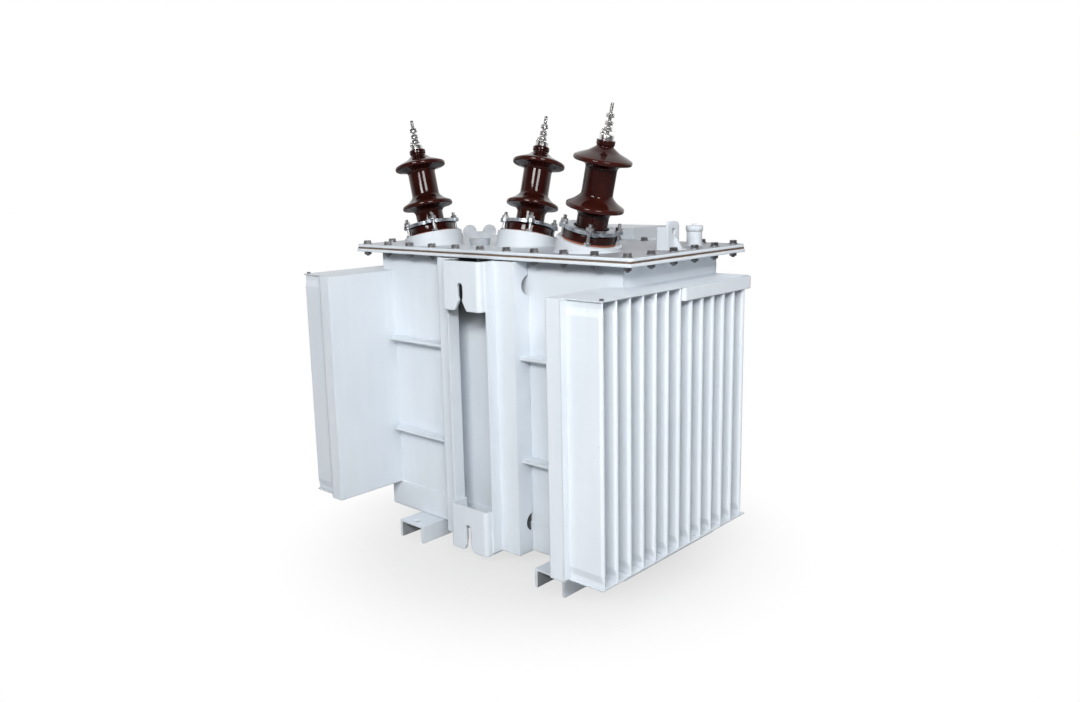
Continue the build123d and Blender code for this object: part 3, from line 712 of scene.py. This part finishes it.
grip_depth, grip_ribs, grip_low, grip_high = 0.0008, 30, 0.002, 0.0125
cap_low, cap_high = (np.array(corner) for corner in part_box("filler_cap"))
cap_middle = (cap_low + cap_high) / 2
grip = ribbed((cap_high[0] - cap_low[0]) / 2, grip_depth, grip_ribs,
              cap_low[2] + grip_low, cap_low[2] + grip_high)
add_piece("filler_cap_grip", [stamped(grip, (cap_middle[0], cap_middle[1], 0.0))], enamel)


# Terminal box: a sheet steel box on a short neck at the back, where the low-voltage cables end.
# Its rear is closed by a pressed lid with rounded corners, held by eight hexagon screws.
def pressed_lid(width, height, corner, thickness, rounding):
    """A plate whose outline is a rectangle with round corners. Ring after ring the outline draws
    in by an inset while it rises by a depth, so that its edge is a quarter round."""
    corner_points, edge_rings = 9, 5
    quarter = np.linspace(0.0, np.pi / 2, corner_points)
    angle = np.concatenate([quarter + turn for turn in (0.0, np.pi / 2, np.pi, 3 * np.pi / 2)])
    turn_x = np.repeat((1, -1, -1, 1), corner_points) * (width / 2 - corner)
    turn_y = np.repeat((1, 1, -1, -1), corner_points) * (height / 2 - corner)
    arc = np.linspace(0.0, np.pi / 2, edge_rings)
    inset = np.concatenate(([0.0], rounding * (1 - np.cos(arc))))[:, None]
    depth = np.concatenate(([0.0], thickness - rounding + rounding * np.sin(arc)))[:, None]
    points = np.stack((turn_x + (corner - inset) * np.cos(angle),
                       turn_y + (corner - inset) * np.sin(angle), depth + 0 * angle), -1)
    return points.reshape(-1, 3), ring_rows(len(inset), len(angle))


box_low, box_high = (np.array(corner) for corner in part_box("terminal_box"))
lid_margin, lid_corner, lid_thickness, lid_rounding = 0.006, 0.012, 0.003, 0.0022
lid_width, lid_height = box_high[0] - box_low[0] - lid_margin, box_high[2] - box_low[2] - lid_margin
lid_middle = np.array((0.0, box_high[1], (box_low[2] + box_high[2]) / 2))
backwards = (0.0, 1.0, 0.0)
lid = pressed_lid(lid_width, lid_height, lid_corner, lid_thickness, lid_rounding)
add_piece("terminal_box_lid", [stamped(lid, lid_middle, backwards)], enamel)

screw_inset, screw_across, screw_top = 0.014, 0.0130, 0.0068
screw_disc, screw_crown, screw_edge, screw_seat, screw_sides = 0.0085, 0.0080, 0.0012, 0.0016, 20
screw_x, screw_z = lid_width / 2 - screw_inset, lid_height / 2 - screw_inset
screws = lid_middle + np.array([(x, lid_thickness, z) for x in (-screw_x, 0.0, screw_x)
                                for z in (-screw_z, 0.0, screw_z) if x or z])
screw_washer = [(screw_disc, 0.0), (screw_disc, screw_edge), (screw_crown, screw_seat)]
screw_parts = [turned(screw_washer, screw_sides), hexagon(screw_across, screw_seat, screw_top)]
add_piece("terminal_box_screws", [stamped(part, screws, backwards) for part in screw_parts],
          zinc)

neck_seam = 0.0022
neck_low, neck_high = (np.array(corner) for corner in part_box("terminal_box_neck"))
neck_corners = ((neck_low[0], neck_low[2]), (neck_high[0], neck_low[2]),
                (neck_high[0], neck_high[2]), (neck_low[0], neck_high[2]))
box_welds = [weld_bead([(x, y, z) for x, z in neck_corners], neck_seam, True)
             for y in (neck_low[1], neck_high[1])]
add_piece("terminal_box_welds", box_welds, enamel)


# Floor: a pale seamless sheet of paper, laid flat under the feet, that takes the soft shadow and
# fades into the white round it.
def shown_rays(tree):
    """1 for the rays that picture the background: those seen straight, and then those mirrored
    in a piece or seen through it."""
    path = tree.nodes.new("ShaderNodeLightPath")
    straight, mirrored, through = (Shade(tree, path.outputs[name]) for name in (
        "Is Camera Ray", "Is Glossy Ray", "Is Transmission Ray"))
    return straight, mirrored + through


def pale_floor():
    """White paper with a faint tooth: its shadow is partly washed out near the object, and further
    away the paper turns plain white, for the rays that picture it and not for the light."""
    made, shader, place = new_finish("pale floor")
    paper_grey, paper_light = (0.42, 0.42, 0.425, 1), (0.45, 0.45, 0.455, 1)
    mirror_grey, white = (0.2, 0.2, 0.205, 1), (1.0, 1.0, 1.0, 1)
    near_share, near_reach, white_reach = 0.69, 0.32, 0.80
    tooth = place.noise(160.0, 3.0)
    flat = place.stretched(1.0, 1.0, 0.0)
    reach = place.node("VectorMath", {"operation": "LENGTH"}, {0: flat}, 1)
    feed(shader, Base_Color=tooth.blend(paper_grey, paper_light), Roughness=0.85,
         Normal=tooth.bump(0.0006, 0.1))
    straight, mirrored = shown_rays(place.tree)
    faded = near_share + (1.0 - near_share) * reach.step(near_reach, white_reach)
    glow = place.node("Emission", {}, {"Color": straight.blend(mirror_grey, white), "Strength": 1.0})
    mixed = place.node("MixShader", {}, {0: straight * faded + mirrored,
                                         1: Shade(place.tree, shader.outputs[0]), 2: glow})
    place.tree.links.new(mixed.socket, place.tree.nodes["Material Output"].inputs["Surface"])
    return made


floor_start, floor_reach, floor_rings, floor_sides = 0.0004, 9.0, 40, 96
floor_profile = np.stack((np.linspace(floor_start, floor_reach, floor_rings), np.zeros(floor_rings)), 1)
floor_points, (floor_walls, floor_caps) = turned(floor_profile, floor_sides)
floor_mesh = bpy.data.meshes.new("floor")
floor_mesh.from_pydata(floor_points.tolist(), [],
                       floor_walls[:, ::-1].tolist() + floor_caps[:1, ::-1].tolist())
floor_mesh.materials.append(pale_floor())
floor = bpy.data.objects.new("floor", floor_mesh)
scene.collection.objects.link(floor)


# Light: a wide thin key near the camera, a small box over the right wing, and fills from the
# right and from behind light what is matt. Two windows, in front and on the right, show only in
# what is glossy and make the paired highlights down the porcelain. The room is dim.
def softbox(name, place, target, width, height, watts, matt=False, gloss=False):
    """A rectangular lamp at one place, turned to face a target. It lights what is matt, or shows
    in what is glossy, or both."""
    lamp = bpy.data.lights.new(name, "AREA")
    lamp.shape = "RECTANGLE"
    lamp.size, lamp.size_y, lamp.energy = width, height, watts
    made = bpy.data.objects.new(name, lamp)
    back = np.array(place, float) - np.array(target, float)
    back /= np.linalg.norm(back)
    right = np.cross((0.0, 0.0, 1.0), back)
    right /= np.linalg.norm(right)
    turn = np.eye(4)
    turn[:3] = np.stack((right, np.cross(back, right), back, place), 1)
    made.matrix_world = Matrix(turn.tolist())
    made.visible_diffuse, made.visible_glossy = matt, gloss
    scene.collection.objects.link(made)


tank_middle, wing_top = (0.0, 0.0, 0.60), (0.50, -0.15, 0.75)
softbox("key box", (2.85, -4.02, 2.95), tank_middle, width=3.9, height=0.34, watts=276, matt=True)
softbox("upper box", (1.00, -0.72, 1.95), wing_top, width=0.5, height=0.5, watts=7, matt=True)
softbox("end fill", (2.75, -0.20, 1.20), tank_middle, width=0.9, height=0.6, watts=6, matt=True)
softbox("back fill", (-2.60, 3.60, 2.40), tank_middle, width=2.5, height=1.5, watts=80, matt=True)
softbox("front window", (1.43, -4.69, 2.62), tank_middle, width=1.5, height=1.2, watts=105, gloss=True)
softbox("right window", (4.20, -2.50, 2.62), tank_middle, width=1.5, height=1.2, watts=80, gloss=True)

room_light, sweep_front, white = (0.22, 0.225, 0.23, 1), (0.06, 0.06, 0.062, 1), (1.0, 1.0, 1.0, 1)
world = bpy.data.worlds.new("white room")
scene.world = world
world.use_nodes = True
room = world.node_tree
toward = Shade(room, room.nodes.new("ShaderNodeTexCoord").outputs["Generated"])
behind = toward.node("VectorMath", {"operation": "DOT_PRODUCT"}, {0: toward, 1: (-0.67, 0.74, 0.0)}, 1)
straight, mirrored = shown_rays(room)
sweep = behind.step(-0.3, 0.4).blend(sweep_front, white)
pictured = straight.blend(mirrored.blend(room_light, sweep), white)
room.links.new(pictured.socket, room.nodes["Background"].inputs["Color"])

scene.view_settings.view_transform = "Standard"
